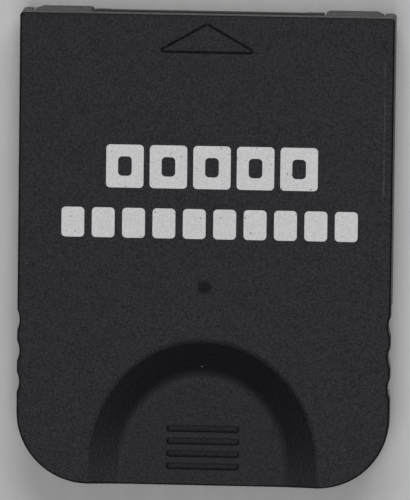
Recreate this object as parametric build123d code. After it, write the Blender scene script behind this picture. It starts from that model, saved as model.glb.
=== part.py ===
from build123d import *
import os

# Console memory card, in millimetres.
# X runs across the card, Y towards the connector end and Z up through the front face.
# The origin lies on the rear face, under the middle of the card.

# How near an edge lies to the outer plan, or to a height, to count as part of it
PLAN_TOLERANCE = 0.001

# Overall form
CARD_WIDTH = 41.0
CARD_LENGTH = 52.1
CARD_THICKNESS = 7.0
GRIP_CORNER_RADIUS = 7.9
END_CORNER_RADIUS = 0.4
FRONT_EDGE_RADIUS = 0.25
REAR_EDGE_RADIUS = 0.35

# Finger scallops along each long side of the grip
SCALLOP_COUNT = 3
SCALLOP_PITCH = 3.45
SCALLOP_TO_SHOULDER = 2.0
SCALLOP_CHORD = 2.2
SCALLOP_DEPTH = 0.26
SCALLOP_CREST_RADIUS = 0.5

# The rear half stands in from the front half: by a small step at the grip, and as side rails along the length
# that goes into the console
GRIP_LENGTH = 20.1
GRIP_STEP = 0.3
GRIP_SEAM_HEIGHT = 4.6
RAIL_HEIGHT = 2.1
RAIL_LEAN = 0.6
SHOULDER_RADIUS = 0.45

# Shell walls and fits
FRONT_WALL = 1.2
SIDE_WALL = 1.2
REAR_WALL = 1.2
SKIRT_WALL = 1.1
PRONG_WALL = 1.3
NEST_CLEARANCE = 0.1
SKIRT_CLEARANCE = 0.2
SEAM_GAP = 0.15
SEAM_BEVEL = 0.15

# Front lip over the connector end
LIP_HEIGHT = 2.2
SLOT_RELIEF = 0.3

# Thumb scoop in the front face: an arch, deepest under its crown, whose floor rises to the grip end,
# with grip ribs across the floor
SCOOP_HALF_WIDTH = 12.65
SCOOP_CROWN = 14.0
SCOOP_LEG = 2.2
SCOOP_OVERRUN = 0.4
SCOOP_OVERSHOOT = 0.5
SCOOP_DEPTH = 1.6
SCOOP_END_DEPTH = 0.45
SCOOP_SIDE_RUN = 3.6
SCOOP_CROWN_RUN = 4.1
SCOOP_BRIM_RADIUS = 1.5
SCOOP_FLOOR_RADIUS = 3.5
SCOOP_WALL = 1.2
RIB_COUNT = 4
RIB_PITCH = 1.375
RIB_TO_GRIP_END = 2.12
RIB_LENGTH = 8.3
RIB_HEIGHT = 0.14
RIB_ROUND = 0.5

# Direction arrow: a triangle outlined by a groove
ARROW_WIDTH = 11.85
ARROW_HEIGHT = 3.38
ARROW_TO_END = 0.8
ARROW_CORNER_RADIUS = 0.3
ARROW_GROOVE_WIDTH = 0.26
ARROW_GROOVE_DEPTH = 0.18
ARROW_GROOVE_LEAN = 0.11

# Circuit board with its connector tongue
BOARD_THICKNESS = 1.6
BOARD_CLEARANCE = 0.2
BOARD_TO_GRIP_END = 16.8
BOARD_CORNER_RADIUS = 0.5
LEDGE_HEIGHT = 0.5
LEDGE_WIDTH = 1.0
TONGUE_WIDTH = 25.2
TONGUE_SETBACK = 0.08
TONGUE_CLEARANCE = 0.1
TONGUE_CORNER_RADIUS = 0.15
TONGUE_BEVEL = 0.35
NOTCH_LENGTH = 8.6
NOTCH_WALL = 1.2
NOTCH_MOUTH_RADIUS = 0.5

# Contact fingers on the rear side of the tongue
FINGER_COUNT = 12
FINGER_PITCH = 1.8
FINGER_WIDTH = 1.2
FINGER_THICKNESS = 0.05
FINGER_CORNER_BEVEL = 0.2
FINGER_TO_BEVEL = 0.15
FINGER_TO_NOTCH = 0.5

# Closing screw, its boss in the front shell and its seat in the rear shell
SCREW_TO_GRIP_END = 22.1
SCREW_HEAD_RADIUS = 1.8
SCREW_HEAD_HEIGHT = 1.05
SCREW_HEAD_EDGE = 0.3
SCREW_SHANK_RADIUS = 1.0
SCREW_POINT = 0.6
SCREW_CROSS_LENGTH = 2.0
SCREW_CROSS_WIDTH = 0.45
SCREW_CROSS_DEPTH = 0.6
HEAD_SUNK = 0.25
HEAD_CLEARANCE = 0.2
SHANK_CLEARANCE = 0.1
THREAD_CLEARANCE = 0.03
PILOT_SPARE_DEPTH = 0.4
BOSS_SKIN = 1.4
BOSS_WALL = 1.2
SEAT_BOSS_WALL = 0.8
SEAT_BOSS_HEIGHT = 1.2
BOSS_HOLE_CLEARANCE = 0.4

# Locating pins of the front shell in sockets of the rear shell
PIN_RADIUS = 1.0
PIN_TO_SIDE = 7.1
PIN_TO_GRIP_END = 7.4
PIN_TO_FLOOR = 0.5
PIN_CLEARANCE = 0.05
SOCKET_WALL = 0.75
SOCKET_HEIGHT = 2.4

# Posts of the front shell that hold the board down
POST_RADIUS = 1.0
POST_INSET_X = 1.4
POST_INSET_Y = 2.2

# Parts on the board: memory, controller, capacitors and resistors
CHIP_STANDOFF = 0.1
CHIP_EDGE_CHAMFER = 0.15
CHIP_DOT_RADIUS = 0.5
CHIP_DOT_DEPTH = 0.08
CHIP_DOT_INSET = 1.1
LEAD_THICKNESS = 0.14
LEAD_FOOT = 0.45
LEAD_WIDTH = 0.24
FLASH_LENGTH = 18.4
FLASH_WIDTH = 12.0
FLASH_HEIGHT = 1.0
FLASH_LEAD_REACH = 0.8
FLASH_LEAD_COUNT = 24
FLASH_LEAD_PITCH = 0.5
FLASH_X = -2.4
FLASH_TO_HOLE = 1.1
CONTROLLER_LENGTH = 6.5
CONTROLLER_WIDTH = 4.4
CONTROLLER_HEIGHT = 0.9
CONTROLLER_LEAD_REACH = 1.0
CONTROLLER_LEAD_COUNT = 10
CONTROLLER_LEAD_PITCH = 0.65
CONTROLLER_TO_FLASH = 0.8
BULK_LENGTH = 3.5
BULK_WIDTH = 2.8
BULK_HEIGHT = 1.4
BULK_CAP = 0.6
BULK_X = -8.0
BYPASS_LENGTH = 2.0
BYPASS_WIDTH = 1.25
BYPASS_HEIGHT = 0.8
BYPASS_CAP = 0.45
BYPASS_COUNT = 4
BYPASS_TO_EDGE = 3.2
BYPASS_PITCH = 2.6
RESISTOR_LENGTH = 1.6
RESISTOR_WIDTH = 0.8
RESISTOR_HEIGHT = 0.45
RESISTOR_CAP = 0.3
RESISTOR_COUNT = 6
RESISTOR_PITCH = 3.0
RESISTOR_TO_FLASH = 0.9
END_CAP_RISE = 0.04

# Places along the card
END_Y = CARD_LENGTH / 2
GRIP_Y = -CARD_LENGTH / 2
GRIP_SHOULDER_Y = GRIP_Y + GRIP_LENGTH
SCOOP_CENTRE_Y = GRIP_Y + SCOOP_LEG
SCREW_Y = GRIP_Y + SCREW_TO_GRIP_END
NOTCH_BACK_Y = END_Y - NOTCH_LENGTH
BOARD_SHOULDER_Y = NOTCH_BACK_Y - NOTCH_WALL - BOARD_CLEARANCE
BOARD_GRIP_Y = GRIP_Y + BOARD_TO_GRIP_END
TONGUE_TIP_Y = END_Y - TONGUE_SETBACK
PIN_Y = GRIP_Y + PIN_TO_GRIP_END

# Places across the card, from its middle plane
NEST_INSET = SIDE_WALL + NEST_CLEARANCE
ROOM_INSET = NEST_INSET + SKIRT_WALL
NEST_HALF_WIDTH = CARD_WIDTH / 2 - NEST_INSET
ROOM_HALF_WIDTH = CARD_WIDTH / 2 - ROOM_INSET
BOARD_HALF_WIDTH = ROOM_HALF_WIDTH - BOARD_CLEARANCE
NOTCH_HALF_WIDTH = TONGUE_WIDTH / 2 + TONGUE_CLEARANCE
PIN_X = CARD_WIDTH / 2 - PIN_TO_SIDE

# Round fits
HEAD_BORE_RADIUS = SCREW_HEAD_RADIUS + HEAD_CLEARANCE
SHANK_BORE_RADIUS = SCREW_SHANK_RADIUS + SHANK_CLEARANCE
PILOT_RADIUS = SCREW_SHANK_RADIUS + THREAD_CLEARANCE
BOSS_RADIUS = PILOT_RADIUS + BOSS_WALL
SEAT_BOSS_RADIUS = HEAD_BORE_RADIUS + SEAT_BOSS_WALL
BOARD_HOLE_RADIUS = SEAT_BOSS_RADIUS + BOSS_HOLE_CLEARANCE
SOCKET_BORE_RADIUS = PIN_RADIUS + PIN_CLEARANCE
SOCKET_RADIUS = SOCKET_BORE_RADIUS + SOCKET_WALL

# Heights above the rear face
CEILING_Z = CARD_THICKNESS - FRONT_WALL
SCOOP_FLOOR_Z = CARD_THICKNESS - SCOOP_DEPTH
SKIRT_TOP_Z = SCOOP_FLOOR_Z - SCOOP_WALL - SKIRT_CLEARANCE
LIP_Z = CARD_THICKNESS - LIP_HEIGHT
PRONG_TOP_Z = LIP_Z - SEAM_GAP
BOARD_Z = REAR_WALL + LEDGE_HEIGHT
BOARD_TOP_Z = BOARD_Z + BOARD_THICKNESS
BOSS_SEAM_Z = REAR_WALL + SEAT_BOSS_HEIGHT
PILOT_TOP_Z = CARD_THICKNESS - BOSS_SKIN
SCREW_TIP_Z = PILOT_TOP_Z - PILOT_SPARE_DEPTH
HEAD_SEAT_Z = HEAD_SUNK + SCREW_HEAD_HEIGHT

# Fall of the scoop's floor, from the grip end to the foot of the crown
SCOOP_FLOOR_REACH = SCOOP_CROWN - SCOOP_CROWN_RUN
SCOOP_FLOOR_FALL = (SCOOP_DEPTH - SCOOP_END_DEPTH) / (SCOOP_LEG + SCOOP_FLOOR_REACH)
SCOOP_CENTRE_DEPTH = SCOOP_END_DEPTH + SCOOP_LEG * SCOOP_FLOOR_FALL

# Places of the chips on the board
CHIP_Y = SCREW_Y + BOARD_HOLE_RADIUS + FLASH_TO_HOLE + FLASH_WIDTH / 2
FLASH_HALF_SPAN = FLASH_LENGTH / 2 + FLASH_LEAD_REACH
CONTROLLER_HALF_SPAN = CONTROLLER_WIDTH / 2 + CONTROLLER_LEAD_REACH
CONTROLLER_X = FLASH_X + FLASH_HALF_SPAN + CONTROLLER_TO_FLASH + CONTROLLER_HALF_SPAN
RESISTOR_Y = CHIP_Y + FLASH_WIDTH / 2 + RESISTOR_TO_FLASH + RESISTOR_LENGTH / 2


def slab(sketch, low, high):
    """A plan sketch raised into a solid between two heights."""
    return Pos(0, 0, low) * extrude(sketch, high - low)


def field(left, right, near, far):
    """A plan rectangle between two X and two Y places."""
    return Pos((left + right) / 2, (near + far) / 2) * Rectangle(right - left, far - near)


def post(x, y, radius, low, high):
    """An upright round post between two heights."""
    return slab(Pos(x, y) * Circle(radius), low, high)


def mirrored_pair(shape):
    """A shape with its mirror image across the middle plane of the card."""
    return shape + mirror(shape, Plane.YZ)


def card_plan(inset, end_y):
    """The card's plan, drawn in by an inset at the sides and the grip, up to a place at the connector end."""
    half_width = CARD_WIDTH / 2 - inset
    plan = field(-half_width, half_width, GRIP_Y + inset, end_y)
    plan = fillet(plan.vertices().group_by(Axis.Y)[0], GRIP_CORNER_RADIUS - inset)
    return fillet(plan.vertices().group_by(Axis.Y)[-1], END_CORNER_RADIUS)


def scalloped_plan():
    """The outer plan with the finger scallops along both sides."""
    half_width = CARD_WIDTH / 2
    radius = (SCALLOP_CHORD ** 2 / 4 + SCALLOP_DEPTH ** 2) / (2 * SCALLOP_DEPTH)
    plan = card_plan(0, END_Y)
    for index in range(SCALLOP_COUNT):
        y = GRIP_SHOULDER_Y - SCALLOP_TO_SHOULDER - index * SCALLOP_PITCH
        plan -= mirrored_pair(Pos(half_width + radius - SCALLOP_DEPTH, y) * Circle(radius))
    high = GRIP_SHOULDER_Y - SCALLOP_TO_SHOULDER + SCALLOP_PITCH / 2
    low = high - SCALLOP_COUNT * SCALLOP_PITCH
    crests = plan.vertices().filter_by(lambda corner: low < corner.Y < high)
    return fillet(crests, SCALLOP_CREST_RADIUS)


def grip_plan():
    """The rear half's plan over the grip, a step in from the outer plan."""
    return offset(scalloped_plan(), -GRIP_STEP) & field(-CARD_WIDTH, CARD_WIDTH, GRIP_Y, GRIP_SHOULDER_Y)


def scoop_section(share):
    """The scoop's arch at a share of the way down its slope, in the leaning plane where it lies flat."""
    half_width = SCOOP_HALF_WIDTH - share * SCOOP_SIDE_RUN
    reach = SCOOP_CROWN - share * SCOOP_CROWN_RUN
    fall = share * SCOOP_FLOOR_FALL * SCOOP_FLOOR_REACH / reach
    stretch = (1 + fall ** 2) ** 0.5
    leg = stretch * (SCOOP_LEG + SCOOP_OVERRUN) * reach / SCOOP_FLOOR_REACH
    arch = EllipticalCenterArc((0, 0), half_width, stretch * reach, arc_size=180)
    legs = Polyline((-half_width, 0), (-half_width, -leg), (half_width, -leg), (half_width, 0))
    middle = (0, SCOOP_CENTRE_Y, CARD_THICKNESS - share * SCOOP_CENTRE_DEPTH)
    return Plane(middle, (1, 0, 0), (0, fall, 1)) * make_face(arch + legs)


def scoop():
    """The hollow of the thumb scoop: an arch that narrows to its floor, with a rounded foot."""
    hollow = loft([scoop_section(-SCOOP_OVERSHOOT), scoop_section(1)], ruled=True)
    foot = hollow.faces().sort_by(Axis.Z)[0].edges().sort_by(Axis.Y)[1:]
    return fillet(foot, SCOOP_FLOOR_RADIUS)


def grip_ribs():
    """The raised bars across the scoop floor."""
    half = SlotOverall(RIB_LENGTH, 2 * RIB_ROUND) & field(-RIB_LENGTH, RIB_LENGTH, 0, RIB_ROUND)
    bar = Pos(0, 0, RIB_HEIGHT - RIB_ROUND) * revolve(half, Axis.X)
    floor = Plane((0, GRIP_Y, CARD_THICKNESS - SCOOP_END_DEPTH), (1, 0, 0), (0, SCOOP_FLOOR_FALL, 1))
    ribs = Part()
    for index in range(RIB_COUNT):
        ribs += floor * (Pos(0, RIB_TO_GRIP_END + index * RIB_PITCH) * bar)
    return ribs


def arrow_groove():
    """The arrow's outline: a groove with leaning walls."""
    tip_y = END_Y - ARROW_TO_END
    base_y = tip_y - ARROW_HEIGHT
    half_width = ARROW_WIDTH / 2
    triangle = make_face(Polyline((-half_width, base_y), (half_width, base_y), (0, tip_y), close=True))
    triangle = fillet(triangle.vertices(), ARROW_CORNER_RADIUS)

    def between(inset, foot_inset):
        top = Pos(0, 0, CARD_THICKNESS) * offset(triangle, -inset)
        foot = Pos(0, 0, CARD_THICKNESS - ARROW_GROOVE_DEPTH) * offset(triangle, -foot_inset)
        return loft([top, foot], ruled=True)

    return between(0, ARROW_GROOVE_LEAN) - between(ARROW_GROOVE_WIDTH, ARROW_GROOVE_WIDTH - ARROW_GROOVE_LEAN)


def outer_edges(body, low, high):
    """The edges from one height to another that follow the outer plan, without the upright ones."""
    outline = scalloped_plan().faces()[0].outer_wire()

    def follows(edge):
        middle = edge @ 0.5
        within = low - PLAN_TOLERANCE < middle.Z < high + PLAN_TOLERANCE
        return within and outline.distance_to(Vertex(middle.X, middle.Y)) < PLAN_TOLERANCE

    return body.edges().filter_by(Axis.Z, reverse=True).filter_by(follows)


def connector_notch(low, high):
    """The space between the prongs at the connector end, between two heights, with a rounded mouth."""
    reach = NOTCH_HALF_WIDTH + NOTCH_MOUTH_RADIUS
    mouth_y = END_Y - NOTCH_MOUTH_RADIUS
    mouth = field(-reach, reach, mouth_y, END_Y)
    mouth -= mirrored_pair(Pos(reach, mouth_y) * Circle(NOTCH_MOUTH_RADIUS))
    return slab(field(-NOTCH_HALF_WIDTH, NOTCH_HALF_WIDTH, NOTCH_BACK_Y, END_Y) + mouth, low, high)


def front_skin():
    """The outside of the front moulding, deep along the rails, with the scoop in it and its rims rounded."""
    plan = scalloped_plan()
    rails = plan & field(-CARD_WIDTH, CARD_WIDTH, GRIP_SHOULDER_Y, END_Y)
    skin = slab(plan, GRIP_SEAM_HEIGHT, CARD_THICKNESS) + slab(rails, RAIL_HEIGHT, GRIP_SEAM_HEIGHT) - scoop()

    def on_brim(edge):
        middle = edge @ 0.5
        across = abs(middle.X) < SCOOP_HALF_WIDTH + PLAN_TOLERANCE
        return across and GRIP_Y + PLAN_TOLERANCE < middle.Y < END_Y - PLAN_TOLERANCE

    front_face = skin.faces().filter_by(Axis.Z).sort_by(Axis.Z)[-1]
    skin = fillet(front_face.edges().filter_by(on_brim), SCOOP_BRIM_RADIUS)
    middle_z = (GRIP_SEAM_HEIGHT + CARD_THICKNESS - SCOOP_END_DEPTH) / 2
    skin = fillet(outer_edges(skin, middle_z, CARD_THICKNESS), FRONT_EDGE_RADIUS)
    return chamfer(outer_edges(skin, RAIL_HEIGHT, middle_z), SEAM_BEVEL)


def front_shell():
    """The front moulding: face, deep side walls, lip, scoop, screw boss, board posts and locating pins."""
    room = slab(card_plan(SIDE_WALL, END_Y - SIDE_WALL), RAIL_HEIGHT, CEILING_Z)
    room -= Pos(0, 0, -SCOOP_WALL) * scoop()
    half_width = CARD_WIDTH / 2 - SIDE_WALL
    window = slab(field(-half_width, half_width, NOTCH_BACK_Y, END_Y), RAIL_HEIGHT, LIP_Z)
    slot = connector_notch(RAIL_HEIGHT, LIP_Z + SLOT_RELIEF)
    body = front_skin() - (room + window + slot)

    post_x = BOARD_HALF_WIDTH - POST_INSET_X
    body += post(0, SCREW_Y, BOSS_RADIUS, BOSS_SEAM_Z, CEILING_Z)
    body += mirrored_pair(post(PIN_X, PIN_Y, PIN_RADIUS, REAR_WALL + PIN_TO_FLOOR, CEILING_Z))
    for post_y in (BOARD_GRIP_Y + POST_INSET_Y, BOARD_SHOULDER_Y - POST_INSET_Y):
        body += mirrored_pair(post(post_x, post_y, POST_RADIUS, BOARD_TOP_Z, CEILING_Z))
    body -= post(0, SCREW_Y, PILOT_RADIUS, BOSS_SEAM_Z, PILOT_TOP_Z)
    return body - arrow_groove() + grip_ribs()


def leaning_half():
    """One half of the length between the rails, drawn in from the nest plan towards the rear face."""
    half = card_plan(NEST_INSET, END_Y) & field(0, CARD_WIDTH, GRIP_Y, END_Y)
    lean = Vector(-RAIL_LEAN, 0, -RAIL_HEIGHT)
    return extrude(Pos(0, 0, RAIL_HEIGHT) * half, lean.length, dir=lean)


def rear_base():
    """The floor of the rear moulding: wide at the grip, drawn in along the rails, open at the notch."""
    base = slab(grip_plan(), 0, RAIL_HEIGHT) + mirrored_pair(leaning_half())
    shoulders = base.edges().filter_by(Axis.Z)
    shoulders = shoulders.filter_by_position(Axis.Y, GRIP_SHOULDER_Y - PLAN_TOLERANCE, END_Y)
    base = fillet(shoulders, SHOULDER_RADIUS) - connector_notch(0, RAIL_HEIGHT)
    return fillet(base.faces().sort_by(Axis.Z)[0].edges(), REAR_EDGE_RADIUS)


def rear_shell():
    """The rear moulding: floor, grip wall, nesting skirt, prongs, ledges, sockets and screw seat."""
    bar_y = NOTCH_BACK_Y - NOTCH_WALL
    bar_half = NOTCH_HALF_WIDTH + NOTCH_WALL
    nest = card_plan(NEST_INSET, END_Y)
    room = card_plan(ROOM_INSET, END_Y - PRONG_WALL)
    grip_zone = field(-CARD_WIDTH, CARD_WIDTH, GRIP_Y, BOARD_GRIP_Y)
    grip_room = card_plan(GRIP_STEP + SIDE_WALL, END_Y) & grip_zone
    prong_zone = field(-CARD_WIDTH, CARD_WIDTH, bar_y, END_Y)
    body = rear_base() + slab(nest - prong_zone, RAIL_HEIGHT, SKIRT_TOP_Z)
    body += slab(nest & prong_zone, RAIL_HEIGHT, PRONG_TOP_Z)
    body += slab(grip_plan(), RAIL_HEIGHT, GRIP_SEAM_HEIGHT)
    body -= slab(room + grip_room, REAR_WALL, CARD_THICKNESS)
    body += slab(field(-bar_half, bar_half, bar_y, NOTCH_BACK_Y), REAR_WALL, BOARD_Z)
    notch_side = field(NOTCH_HALF_WIDTH, bar_half, bar_y, END_Y - PRONG_WALL)
    body += mirrored_pair(slab(notch_side, REAR_WALL, PRONG_TOP_Z))
    body -= connector_notch(REAR_WALL, CARD_THICKNESS)

    ledge = field(ROOM_HALF_WIDTH - LEDGE_WIDTH, ROOM_HALF_WIDTH, BOARD_GRIP_Y, BOARD_SHOULDER_Y)
    socket_top = REAR_WALL + SOCKET_HEIGHT
    body += mirrored_pair(slab(ledge, REAR_WALL, BOARD_Z))
    body += mirrored_pair(post(PIN_X, PIN_Y, SOCKET_RADIUS, REAR_WALL, socket_top))
    body -= mirrored_pair(post(PIN_X, PIN_Y, SOCKET_BORE_RADIUS, REAR_WALL, socket_top))
    body += post(0, SCREW_Y, SEAT_BOSS_RADIUS, REAR_WALL, BOSS_SEAM_Z)
    body -= post(0, SCREW_Y, HEAD_BORE_RADIUS, 0, HEAD_SEAT_Z)
    return body - post(0, SCREW_Y, SHANK_BORE_RADIUS, HEAD_SEAT_Z, BOSS_SEAM_Z)


def closing_screw():
    """A pan head screw from the rear, with a cross recess. Its thread is drawn as its outer cylinder."""
    head = post(0, 0, SCREW_HEAD_RADIUS, HEAD_SUNK, HEAD_SEAT_Z)
    head = fillet(head.faces().sort_by(Axis.Z)[0].edges(), SCREW_HEAD_EDGE)
    cross = Rectangle(SCREW_CROSS_LENGTH, SCREW_CROSS_WIDTH)
    cross += Rectangle(SCREW_CROSS_WIDTH, SCREW_CROSS_LENGTH)
    shank = post(0, 0, SCREW_SHANK_RADIUS, HEAD_SEAT_Z, SCREW_TIP_Z)
    shank = chamfer(shank.faces().sort_by(Axis.Z)[-1].edges(), SCREW_POINT)
    return Pos(0, SCREW_Y) * (head + shank - slab(cross, HEAD_SUNK, HEAD_SUNK + SCREW_CROSS_DEPTH))


def circuit_board():
    """The board with its shoulders, the hole for the screw boss and the bevelled connector tongue."""
    board = field(-BOARD_HALF_WIDTH, BOARD_HALF_WIDTH, BOARD_GRIP_Y, BOARD_SHOULDER_Y)
    board = fillet(board.vertices(), BOARD_CORNER_RADIUS)
    tongue = field(-TONGUE_WIDTH / 2, TONGUE_WIDTH / 2, BOARD_SHOULDER_Y - BOARD_CORNER_RADIUS, TONGUE_TIP_Y)
    tongue = fillet(tongue.vertices().group_by(Axis.Y)[-1], TONGUE_CORNER_RADIUS)
    hole = Pos(0, SCREW_Y) * Circle(BOARD_HOLE_RADIUS)
    bevel = make_face(
        Polyline(
            (TONGUE_TIP_Y - TONGUE_BEVEL, BOARD_Z),
            (TONGUE_TIP_Y, BOARD_Z),
            (TONGUE_TIP_Y, BOARD_Z + TONGUE_BEVEL),
            close=True,
        )
    )
    span = FINGER_COUNT * FINGER_PITCH
    return slab(board + tongue - hole, BOARD_Z, BOARD_TOP_Z) - extrude(Plane.YZ * bevel, span / 2, both=True)


def contact_finger(index):
    """One gold contact, counted from the left, on the rear side of the tongue."""
    x = (index - (FINGER_COUNT - 1) / 2) * FINGER_PITCH
    tip_y = TONGUE_TIP_Y - TONGUE_BEVEL - FINGER_TO_BEVEL
    pad = field(x - FINGER_WIDTH / 2, x + FINGER_WIDTH / 2, NOTCH_BACK_Y + FINGER_TO_NOTCH, tip_y)
    return slab(chamfer(pad.vertices(), FINGER_CORNER_BEVEL), BOARD_Z - FINGER_THICKNESS, BOARD_Z)


def chip_body(length, width, height):
    """A moulded chip package over the origin, with a first-lead dimple in one corner."""
    low = BOARD_TOP_Z + CHIP_STANDOFF
    body = slab(Rectangle(length, width), low, low + height)
    body = chamfer(body.edges().filter_by(Axis.Z, reverse=True), CHIP_EDGE_CHAMFER)
    dot = Pos(CHIP_DOT_INSET - length / 2, CHIP_DOT_INSET - width / 2) * Circle(CHIP_DOT_RADIUS)
    return body - slab(dot, low + height - CHIP_DOT_DEPTH, low + height)


def bent_leads(half_body, height, reach, count, pitch):
    """Bent leads that leave both X sides of a chip over the origin and stand on the board."""
    exit_z = CHIP_STANDOFF + height / 2
    knee = reach - LEAD_FOOT
    section = Polyline(
        (0, exit_z + LEAD_THICKNESS / 2),
        (knee, exit_z + LEAD_THICKNESS / 2),
        (knee, LEAD_THICKNESS),
        (reach, LEAD_THICKNESS),
        (reach, 0),
        (knee - LEAD_THICKNESS, 0),
        (knee - LEAD_THICKNESS, exit_z - LEAD_THICKNESS / 2),
        (0, exit_z - LEAD_THICKNESS / 2),
        close=True,
    )
    lead = extrude(Plane.XZ * make_face(section), LEAD_WIDTH / 2, both=True)
    lead = Pos(half_body, 0, BOARD_TOP_Z) * lead
    places = [(index - (count - 1) / 2) * pitch for index in range(count)]
    return Compound([Rot(0, 0, turn) * Pos(0, y) * lead for turn in (0, 180) for y in places])


def flash_chip():
    """The memory chip."""
    return Pos(FLASH_X, CHIP_Y) * chip_body(FLASH_LENGTH, FLASH_WIDTH, FLASH_HEIGHT)


def flash_chip_leads():
    """The leads at both short ends of the memory chip."""
    leads = bent_leads(FLASH_LENGTH / 2, FLASH_HEIGHT, FLASH_LEAD_REACH, FLASH_LEAD_COUNT, FLASH_LEAD_PITCH)
    return Pos(FLASH_X, CHIP_Y) * leads


def controller_chip():
    """The controller chip beside the memory."""
    return Pos(CONTROLLER_X, CHIP_Y) * chip_body(CONTROLLER_WIDTH, CONTROLLER_LENGTH, CONTROLLER_HEIGHT)


def controller_chip_leads():
    """The leads along both long sides of the controller chip."""
    leads = bent_leads(
        CONTROLLER_WIDTH / 2,
        CONTROLLER_HEIGHT,
        CONTROLLER_LEAD_REACH,
        CONTROLLER_LEAD_COUNT,
        CONTROLLER_LEAD_PITCH,
    )
    return Pos(CONTROLLER_X, CHIP_Y) * leads


def end_capped_block(length, width, height, cap):
    """A small surface part over the origin, long in Y, with a raised metal cap round each end."""
    low = BOARD_TOP_Z
    body = slab(Rectangle(width - 2 * END_CAP_RISE, length), low + END_CAP_RISE, low + height - END_CAP_RISE)
    end = slab(field(-width / 2, width / 2, length / 2 - cap, length / 2), low, low + height)
    return body + end + mirror(end, Plane.XZ)


def bulk_capacitor():
    """The larger storage capacitor beside the screw boss."""
    return Pos(BULK_X, SCREW_Y) * end_capped_block(BULK_LENGTH, BULK_WIDTH, BULK_HEIGHT, BULK_CAP)


def bypass_capacitor(index):
    """One small ceramic capacitor of the row beside the screw boss, counted from the edge of the board."""
    block = end_capped_block(BYPASS_LENGTH, BYPASS_WIDTH, BYPASS_HEIGHT, BYPASS_CAP)
    return Pos(BOARD_HALF_WIDTH - BYPASS_TO_EDGE - index * BYPASS_PITCH, SCREW_Y) * block


def line_resistor(index):
    """One resistor of the row between the memory and the connector tongue."""
    block = end_capped_block(RESISTOR_LENGTH, RESISTOR_WIDTH, RESISTOR_HEIGHT, RESISTOR_CAP)
    x = (index - (RESISTOR_COUNT - 1) / 2) * RESISTOR_PITCH
    return Pos(x, RESISTOR_Y) * block


nodes = {
    "front_shell": front_shell(),
    "rear_shell": rear_shell(),
    "closing_screw": closing_screw(),
    "circuit_board": circuit_board(),
    "flash_chip": flash_chip(),
    "flash_chip_leads": flash_chip_leads(),
    "controller_chip": controller_chip(),
    "controller_chip_leads": controller_chip_leads(),
    "bulk_capacitor": bulk_capacitor(),
}
for number in range(FINGER_COUNT):
    nodes[f"contact_finger_{number + 1:02d}"] = contact_finger(number)
for number in range(BYPASS_COUNT):
    nodes[f"bypass_capacitor_{number + 1}"] = bypass_capacitor(number)
for number in range(RESISTOR_COUNT):
    nodes[f"line_resistor_{number + 1}"] = line_resistor(number)

os.makedirs("parts", exist_ok=True)
for name, solid in nodes.items():
    export_step(solid, f"parts/{name}.step")
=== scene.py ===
"""Looks of a console memory card: moulded shells, print, board and contacts, on a pale table."""

import math

import bmesh
import bpy
from mathutils import Matrix, Vector


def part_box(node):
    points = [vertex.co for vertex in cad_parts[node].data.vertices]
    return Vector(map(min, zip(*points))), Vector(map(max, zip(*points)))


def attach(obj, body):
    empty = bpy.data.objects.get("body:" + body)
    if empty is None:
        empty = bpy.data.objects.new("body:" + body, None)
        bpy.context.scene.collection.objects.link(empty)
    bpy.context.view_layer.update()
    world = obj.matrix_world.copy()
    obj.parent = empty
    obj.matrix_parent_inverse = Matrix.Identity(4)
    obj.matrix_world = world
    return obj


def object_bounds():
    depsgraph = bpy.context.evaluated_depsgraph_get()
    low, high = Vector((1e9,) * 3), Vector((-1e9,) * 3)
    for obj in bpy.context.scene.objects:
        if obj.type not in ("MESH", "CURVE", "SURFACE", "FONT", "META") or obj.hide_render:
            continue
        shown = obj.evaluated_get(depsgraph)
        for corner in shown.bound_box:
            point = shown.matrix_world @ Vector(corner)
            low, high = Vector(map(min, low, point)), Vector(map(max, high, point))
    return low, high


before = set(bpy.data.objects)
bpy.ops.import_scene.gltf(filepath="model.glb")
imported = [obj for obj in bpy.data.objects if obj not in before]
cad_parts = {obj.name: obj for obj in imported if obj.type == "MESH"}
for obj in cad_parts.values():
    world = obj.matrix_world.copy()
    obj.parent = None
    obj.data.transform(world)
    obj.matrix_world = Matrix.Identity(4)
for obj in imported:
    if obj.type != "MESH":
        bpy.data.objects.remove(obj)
CAD_LOW, CAD_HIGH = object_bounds()

bl_info = {
    "name": "Memory card looks",
    "version": (1, 0, 0),
    "blender": (4, 5, 0),
    "location": "View3D > Sidebar > Card",
    "description": "Finishes the shells, print, board and contacts of a console memory card",
    "category": "Object",
}

MM = 0.001
X, Y, Z = range(3)
BODY = "root"

# Places that the finishes follow, from the solids
FRONT_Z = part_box("front_shell")[1].z
SCREW_LOW, SCREW_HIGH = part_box("closing_screw")
SCREW_PLACE = (SCREW_LOW + SCREW_HIGH) / 2
CONTACT_FOOT_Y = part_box("contact_finger_01")[0].y
RIBS = {
    "First": Vector((0.0, CAD_LOW.y + 2.12 * MM, 0.0)),
    "Pitch": 1.375 * MM,
    "Half Size": Vector((4.1 * MM, 0.4 * MM, 0.0)),
    "Count": 4.0,
}

# Marks that the photograph shows on the front
# A thin broken strip near the right edge of the front, painted lighter towards the dust colour
PALE_STREAK = {
    "Middle": (19.52 * MM, 13.9 * MM, 0.0),
    "Half Size": (0.03 * MM, 7.4 * MM, 1.0),
    "Edge": 0.09 * MM,
}
PALE_STREAK_BREAKS = 900.0
SPECK = {"Place": (-0.2 * MM, -12.9 * MM, 0.0), "Radius": 0.06 * MM, "Edge": 0.02 * MM}

# Small spots scattered over a finish
DUST = {"Spacing": 1.6 * MM, "Size": 0.07 * MM, "Share": 0.25}
PINHOLES = {"Spacing": 0.55 * MM, "Size": 0.13 * MM, "Share": 0.3}
FILLER = {"Spacing": 0.25 * MM, "Size": 0.04 * MM, "Share": 0.4}

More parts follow.
